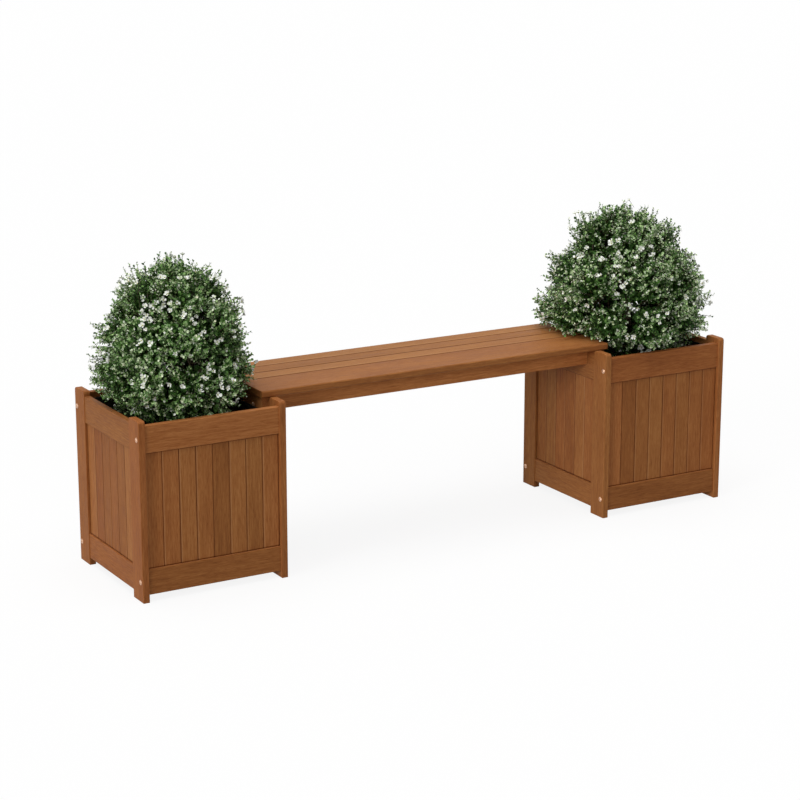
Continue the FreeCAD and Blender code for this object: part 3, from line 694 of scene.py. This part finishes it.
def add_leaf(bm, uv, matrix, tone, hue):
    """An oval leaf folded along its midrib, from a six-sided disc split base to tip."""
    verts = bmesh.ops.create_circle(bm, cap_ends=True, segments=DISC_SIDES, radius=1)["verts"]
    base = min(verts, key=lambda v: v.co.y)
    tip = max(verts, key=lambda v: v.co.y)
    bmesh.ops.connect_verts(bm, verts=[base, tip])

    def in_cell(co):
        column = (tone + 0.5 + CELL_REACH * co.x) / TONE_STEPS
        row = (hue + 0.5 + CELL_REACH * co.y) / MAP_ROWS
        return column, row

    lay_on_map(verts, uv, in_cell)
    for vert in verts:
        reach = (vert.co.y + 1) / 2
        side = abs(vert.co.x)
        vert.co.x *= DISC_HALF * LEAF_WIDTH
        vert.co.y = reach * LEAF_LENGTH
        vert.co.z = LEAF_FOLD * side * DISC_HALF * LEAF_WIDTH - LEAF_DROOP * reach ** 2 * LEAF_LENGTH
    bmesh.ops.transform(bm, matrix=matrix, verts=verts)


STEM_SIDES = 3
TWIG_LENGTH = 0.046
TWIG_RADIUS = 0.0009
TWIG_TAPER = 0.4
TWIG_MAP_START = 0.1
TWIG_MAP_LENGTH = 0.8


def add_twig(bm, uv):
    """A three-sided tapering twig along Z, on the map's top row."""
    middle = Matrix.Translation((0, 0, TWIG_LENGTH / 2))
    twig = bmesh.ops.create_cone(bm, segments=STEM_SIDES, radius1=TWIG_RADIUS,
                                 radius2=TWIG_RADIUS * TWIG_TAPER, depth=TWIG_LENGTH, matrix=middle)["verts"]

    def in_top_row(co):
        return co.z / TWIG_LENGTH * TWIG_MAP_LENGTH + TWIG_MAP_START, (HUE_STEPS + 0.5) / MAP_ROWS

    lay_on_map(twig, uv, in_top_row)


GOLDEN_TURN = math.radians(137.5)
TURN_STRAY = 0.5
BARE_SHARE = 0.18
LEAFY_SHARE = 0.82
LEAF_LEAN = (45, 85)
TIP_CLOSING = 40
LEAF_ROLL = 0.7
LEAF_SIZES = (0.7, 1.25)
PALE_LEAF = (0.55, 1.0)
DARK_LEAF = 0.5
DARK_BIAS = 1.3


def leafy_twig(draw, leaves, darkest, palest, pale_share):
    """A twig along Z with leaves that spiral up it, most of them dark and a share of them pale."""
    bm = bmesh.new()
    uv = bm.loops.layers.uv.new("OFBake")
    add_twig(bm, uv)
    for i in range(leaves):
        share = (i + 0.5) / leaves
        height = TWIG_LENGTH * (BARE_SHARE + LEAFY_SHARE * share)
        lean = math.radians(draw.uniform(*LEAF_LEAN) - TIP_CLOSING * share ** 2)
        heading = turned(GOLDEN_TURN * i + draw.uniform(-TURN_STRAY, TURN_STRAY), "Z")
        tilt = turned(math.pi / 2 - lean, "X")
        roll = turned(draw.uniform(-LEAF_ROLL, LEAF_ROLL), "Y")
        size = resized(draw.uniform(*LEAF_SIZES))
        if draw.random() < pale_share:
            paleness = draw.uniform(*PALE_LEAF)
        else:
            paleness = DARK_LEAF * draw.random() ** DARK_BIAS
        tone = round(darkest + (palest - darkest) * paleness)
        place = Matrix.Translation((0, 0, height)) @ heading @ tilt @ roll @ size
        add_leaf(bm, uv, place, tone, draw.randrange(HUE_STEPS))
    return as_mesh("leafy_twig", bm)


UNDERSIDE = -0.9
OUTWARD_PULL = 0.6


def crown_spots(side, count, draw):
    """Points spread evenly over the outside of a crown's solid, each with the way out there."""
    mesh = nodes[f"{side}_foliage"].data
    mesh.calc_loop_triangles()
    low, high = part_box(f"{side}_foliage")
    middle = (low + high) / 2
    outside = [t for t in mesh.loop_triangles
               if t.normal.dot(t.center - middle) > 0 and t.normal.z > UNDERSIDE]
    for triangle in draw.choices(outside, [t.area for t in outside], k=count):
        a, b, c = (mesh.vertices[i].co for i in triangle.vertices)
        root = math.sqrt(draw.random())
        share = draw.random()
        out = triangle.normal + (triangle.center - middle).normalized() * OUTWARD_PULL
        yield a * (1 - root) + b * root * (1 - share) + c * root * share, out.normalized()


CROWN_PROUD = Vector((0.002, 0.002, 0.012))


def growing_room(side, clearance):
    """Gives a test that a point is in the crown's reach, and clear of the planter's walls and the seat."""
    crown_low, crown_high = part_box(f"{side}_foliage")
    crown_low -= CROWN_PROUD
    crown_high += CROWN_PROUD
    tub_low, tub_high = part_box(f"{side}_liner_tub")
    seat_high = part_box("seat_front_board")[1]
    post_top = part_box(f"{side}_outer_front_post")[1].z

    def has_room(point):
        if not all(crown_low[i] < point[i] < crown_high[i] for i in (ALONG_X, ALONG_Y, ALONG_Z)):
            return False
        if abs(point.x) < seat_high.x + clearance:
            return point.z > seat_high.z + clearance
        inside = all(tub_low[i] + clearance < point[i] < tub_high[i] - clearance for i in (ALONG_X, ALONG_Y))
        return inside or point.z > post_top + clearance

    return has_room


def random_vector(draw):
    return Vector((draw.gauss(0, 1), draw.gauss(0, 1), draw.gauss(0, 1)))


def strayed(draw, most, way):
    """A direction, turned by up to so many radians about a random axis."""
    axis = random_vector(draw)
    return (Matrix.Rotation(draw.uniform(-most, most), 3, axis) @ way).normalized()


GROWTH = (0.85, 1.2)


def grown(piece_bm, shape, tip, way, draw, length=0.0, swell=1.0):
    """Adds a copy of a shape of some length that ends at a tip and points a given way."""
    turn = way.to_track_quat("Z", "Y").to_matrix().to_4x4()
    spin = turned(draw.uniform(0, math.tau), "Z")
    size = draw.uniform(*GROWTH) * swell
    base = tip - way * length * size
    copy = shape.copy()
    copy.transform(Matrix.Translation(base) @ turn @ spin @ resized(size))
    piece_bm.from_mesh(copy)
    bpy.data.meshes.remove(copy)


SHADED = {"darkest": 0, "palest": 8, "pale_share": 0.22}
HALF_LIT = {"darkest": 0, "palest": 15, "pale_share": 0.47}
SUNLIT = {"darkest": 2, "palest": 15, "pale_share": 0.62}
INNER_LAYER = {"twigs": 1700, "leaves": 16, "tips": (0.010, 0.034), "swell": 1.8, "tones": (SHADED,)}
OUTER_LAYER = {"twigs": 2750, "leaves": 16, "tips": (-0.018, 0.012), "swell": 1.0,
               "tones": (SHADED, HALF_LIT, SUNLIT)}
SHOOT_LAYER = {"twigs": 1100, "leaves": 10, "tips": (-0.036, -0.008), "swell": 1.0,
               "tones": (HALF_LIT, SUNLIT)}
TWIG_SHAPES = 8
CROWN_TRIM = {"left": 0.010, "right": 0.009}
TUFT_DEPTH = 0.050
TUFT_SCALE = 14
TWIG_PULL = Vector((0, 0, 0.35))
TWIG_STRAY = 0.8
LEAF_CLEARANCE = 0.006
FREE_SHARE = 0.6
LIGHT_SPREAD = 0.25


def crown_leaves(name, side, layer, draw):
    """A layer of leafy twigs, in loose tufts, whose tips lie near the surface of the crown's solid."""
    bm = bmesh.new()
    has_room = growing_room(side, LEAF_CLEARANCE)
    shapes = [[leafy_twig(draw, layer["leaves"], **tones) for _ in range(TWIG_SHAPES)]
              for tones in layer["tones"]]
    shallow, deep = layer["tips"]
    for spot, out in crown_spots(side, layer["twigs"], draw):
        depth = draw.triangular(shallow, deep, deep) - TUFT_DEPTH * noise.noise(spot * TUFT_SCALE)
        way = strayed(draw, TWIG_STRAY, out + TWIG_PULL)
        tip = spot - out * (depth + CROWN_TRIM[side])
        if has_room(tip) and has_room(tip - way * TWIG_LENGTH * FREE_SHARE):
            # Painted shade: the deeper a twig's tip lies, the darker the tone set its leaves take.
            light = (deep - depth) / (deep - shallow) + draw.gauss(0, LIGHT_SPREAD)
            tones = min(max(int(light * len(shapes)), 0), len(shapes) - 1)
            grown(bm, draw.choice(shapes[tones]), tip, way, draw, TWIG_LENGTH, layer["swell"])
    for shape in sum(shapes, []):
        bpy.data.meshes.remove(shape)
    leaves = finished(name, bm, [leaf_finish])
    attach(leaves, f"{side}_shrub")
    return leaves


leaf_finish = leaf_map()
for side in SIDES:
    draw = random.Random(f"{side} leaves")
    crown_leaves(f"{side}_inner_leaves", side, INNER_LAYER, draw)
    outer_leaves = crown_leaves(f"{side}_outer_leaves", side, OUTER_LAYER, draw)
    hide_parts(f"{side}_foliage")
    crown_leaves(f"{side}_shoot_leaves", side, SHOOT_LAYER, draw)

# Flowers
# White four-petalled flowers with small green-gold middles open at the tips of the outer twigs, singly and
# in loose clusters, over the whole crown.
PETAL_WHITE = (0.91, 0.93, 0.87)
PETAL_BASE = (0.62, 0.68, 0.46)
PETAL_BASE_EDGE = (0.35, 0.0)
POLLEN = (0.50, 0.46, 0.12)
POLLEN_EDGE = (0.54, 0.56)
STALK_GREEN = (0.10, 0.17, 0.06)
STALK_EDGE = (0.88, 0.90)
PETAL_COLUMN = 0.25
POLLEN_COLUMN = 0.72
STALK_COLUMN = 0.95
MIDDLE_ROW = 0.5


def petal_map():
    """The left half of the map is a petal, base to tip; to its right are the flower's middle and stalk."""
    finish = Finish("flower_petals", Roughness=0.55, Specular_IOR_Level=0.3)
    spot = finish.node("ShaderNodeUVMap", {"uv_map": "OFBake"})
    across = finish.on_axis(spot, "X")
    along = finish.on_axis(spot, "Y")
    colour = finish.tint(along.steps_up(*PETAL_BASE_EDGE), PETAL_WHITE, PETAL_BASE)
    colour = finish.tint(across.steps_up(*POLLEN_EDGE), colour, POLLEN)
    colour = finish.tint(across.steps_up(*STALK_EDGE), colour, STALK_GREEN)
    finish.surface(Base_Color=colour)
    return finish.material


PETAL_LENGTH = 0.0093
PETAL_WIDTH = 0.0073
PETAL_NECK = 0.35
PETAL_FLARE = 0.65
PETAL_WIDEST = 0.75
PETAL_CURL = 0.2
PETAL_MAP_WIDTH = 0.2
PETAL_MAP_LENGTH = 0.45


def add_petal(bm, uv, matrix):
    """A petal along Y that widens from a narrow neck and curls up to its tip."""
    verts = bmesh.ops.create_circle(bm, cap_ends=True, segments=DISC_SIDES, radius=1)["verts"]

    def on_left_half(co):
        return PETAL_COLUMN + PETAL_MAP_WIDTH * co.x, MIDDLE_ROW + PETAL_MAP_LENGTH * co.y

    lay_on_map(verts, uv, on_left_half)
    for vert in verts:
        reach = (vert.co.y + 1) / 2
        flare = PETAL_NECK + PETAL_FLARE * min(reach / PETAL_WIDEST, 1)
        half_width = vert.co.x * DISC_HALF * PETAL_WIDTH * flare
        vert.co = (half_width, reach * PETAL_LENGTH, reach ** 2 * PETAL_LENGTH * PETAL_CURL)
    bmesh.ops.transform(bm, matrix=matrix, verts=verts)


PETAL_COUNT = 4
PETAL_STRAY = 0.25
PETAL_LIFT = math.radians(24)
LIFT_STRAY = (-0.2, 0.4)
PETAL_SIZES = (0.75, 1.15)
MIDDLE_SIDES = 5
MIDDLE_FOOT = 0.0015
MIDDLE_TOP = 0.0008
MIDDLE_HEIGHT = 0.003
MIDDLE_MAP = 20
STALK_LENGTH = 0.026
STALK_RADIUS = 0.0006
STALK_MAP_WIDTH = 20
STALK_MAP_LENGTH = 10


def open_flower(draw):
    """A flower that faces Z, with its middle at the origin and its stalk behind."""
    bm = bmesh.new()
    uv = bm.loops.layers.uv.new("OFBake")
    for i in range(PETAL_COUNT):
        turn = turned(math.tau * i / PETAL_COUNT + draw.uniform(-PETAL_STRAY, PETAL_STRAY), "Z")
        lift = turned(PETAL_LIFT + draw.uniform(*LIFT_STRAY), "X")
        add_petal(bm, uv, turn @ lift @ resized(draw.uniform(*PETAL_SIZES)))
    in_front = Matrix.Translation((0, 0, MIDDLE_HEIGHT / 2))
    middle = bmesh.ops.create_cone(bm, cap_ends=True, segments=MIDDLE_SIDES, radius1=MIDDLE_FOOT,
                                   radius2=MIDDLE_TOP, depth=MIDDLE_HEIGHT, matrix=in_front)["verts"]
    lay_on_map(middle, uv, lambda co: (POLLEN_COLUMN + co.x * MIDDLE_MAP, MIDDLE_ROW + co.y * MIDDLE_MAP))
    behind = Matrix.Translation((0, 0, -STALK_LENGTH / 2))
    stalk = bmesh.ops.create_cone(bm, segments=STEM_SIDES, radius1=STALK_RADIUS, radius2=STALK_RADIUS,
                                  depth=STALK_LENGTH, matrix=behind)["verts"]
    lay_on_map(stalk, uv, lambda co: (STALK_COLUMN + co.x * STALK_MAP_WIDTH,
                                      MIDDLE_ROW + co.z * STALK_MAP_LENGTH))
    return as_mesh("open_flower", bm)


FLOWER_SHAPES = 4
FLOWER_CLUSTERS = 125
CLUSTER_SIZES = (1, 2, 2, 3, 3)
FLOWER_SPREAD = 0.010
FLOWER_CLEARANCE = 0.03
FLOWER_PULL = Vector((0, 0, 0.2))
FLOWER_STRAY = 0.9
FLOWER_STAND = 0.012


def crown_flowers(side, draw):
    """Clusters of flowers that stand on the tufts of the crown."""
    bm = bmesh.new()
    has_room = growing_room(side, FLOWER_CLEARANCE)
    shapes = [open_flower(draw) for _ in range(FLOWER_SHAPES)]
    for spot, out in crown_spots(side, FLOWER_CLUSTERS, draw):
        for _ in range(draw.choice(CLUSTER_SIZES)):
            aside = random_vector(draw) * FLOWER_SPREAD
            aside -= out * aside.dot(out)
            way = strayed(draw, FLOWER_STRAY, out + FLOWER_PULL)
            rise = FLOWER_STAND + TUFT_DEPTH * noise.noise(spot * TUFT_SCALE) - CROWN_TRIM[side]
            tip = spot + aside + out * rise
            if has_room(tip):
                grown(bm, draw.choice(shapes), tip, way, draw)
    for shape in shapes:
        bpy.data.meshes.remove(shape)
    return finished(f"{side}_flowers", bm, [petal_finish])


petal_finish = petal_map()
for side in SIDES:
    flowers = crown_flowers(side, random.Random(f"{side} flowers"))
    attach(flowers, f"{side}_shrub")

# Studio
# A white floor and sky, a broad soft sun overhead, a low one from the left and a weak one from the front,
# and a camera that looks down a little on the bench from its left front side.
FLOOR_SIZE = 40
FLOOR_GREY = (0.45, 0.45, 0.45)
FLOOR_WHITE = (1, 1, 1)
FLOOR_SHADOW = 0.12
SKY_WHITE = (1, 1, 1, 1)
SKY_STRENGTH = 0.20


def seen_directly(finish):
    """1 where the camera looks, also by way of a mirror or glass, and 0 for light that falls on things."""
    camera, mirror, glass = (finish.node("ShaderNodeLightPath", {}, {}, f"Is {ray} Ray")
                             for ray in ("Camera", "Glossy", "Transmission"))
    return (camera + mirror + glass).least(1)


def studio_floor():
    """A grey floor that looks white, and that still takes the bench's shadow."""
    finish = Finish("studio_floor", Roughness=0.9, Specular_IOR_Level=0.0)
    seen = seen_directly(finish)
    finish.surface(Base_Color=finish.tint(seen, FLOOR_GREY, FLOOR_WHITE))
    glow = finish.node("ShaderNodeEmission", {}, {"Color": SKY_WHITE, "Strength": 1.0})
    matt = Wire(finish, finish.shader.outputs[0])
    mixed = finish.node("ShaderNodeMixShader", {}, {0: seen * (1 - FLOOR_SHADOW), 1: matt, 2: glow})
    finish.fill(finish.tree.nodes["Material Output"], {"Surface": mixed})
    return finish.material


floor_bm = bmesh.new()
bmesh.ops.create_grid(floor_bm, x_segments=1, y_segments=1, size=FLOOR_SIZE / 2)
floor = finished("studio_floor", floor_bm, [studio_floor()])

SUNS = {
    "sun": {"way": (0.08, 0.04, -1.0), "strength": 2.12, "spread": 60},
    "side": {"way": (0.92, 0.32, -0.22), "strength": 1.15, "spread": 18},
    "front": {"way": (0.15, 0.89, -0.43), "strength": 0.11, "spread": 10},
}


def add_sun(name, way, strength, spread):
    """A sun that shines a given way, as wide in the sky as its spread in degrees."""
    data = bpy.data.lights.new(name, "SUN")
    data.energy = strength
    data.angle = math.radians(spread)
    sun = bpy.data.objects.new(name, data)
    sun.rotation_euler = Vector(way).to_track_quat("-Z", "Y").to_euler()
    bpy.context.scene.collection.objects.link(sun)


for name, light in SUNS.items():
    add_sun(name, **light)


class Sky(Finish):
    """The world's light, wired as a finish is."""

    def __init__(self, name):
        self.world = bpy.data.worlds.new(name)
        self.world.use_nodes = True
        self.tree = self.world.node_tree
        self.shader = self.tree.nodes["Background"]


sky = Sky("white_sky")
sky.surface(Color=SKY_WHITE, Strength=SKY_STRENGTH + seen_directly(sky) * (1 - SKY_STRENGTH))
bpy.context.scene.world = sky.world
bpy.context.scene.view_settings.view_transform = "Standard"

CAMERA_PLACE = (-3.005834, -5.105999, 1.91842)
CAMERA_TURN = math.radians(-30.128)
CAMERA_DIP = math.radians(14.725)
FOCAL_PIXELS = 2249.704
IMAGE_PIXELS = 800
SENSOR = 36
camera_data = bpy.data.cameras.new("camera")
camera_data.sensor_width = SENSOR
camera_data.lens = SENSOR * FOCAL_PIXELS / IMAGE_PIXELS
camera = bpy.data.objects.new("camera", camera_data)
camera.location = CAMERA_PLACE
camera.rotation_euler = (math.pi / 2 - CAMERA_DIP, 0, CAMERA_TURN)
bpy.context.scene.collection.objects.link(camera)
bpy.context.scene.camera = camera
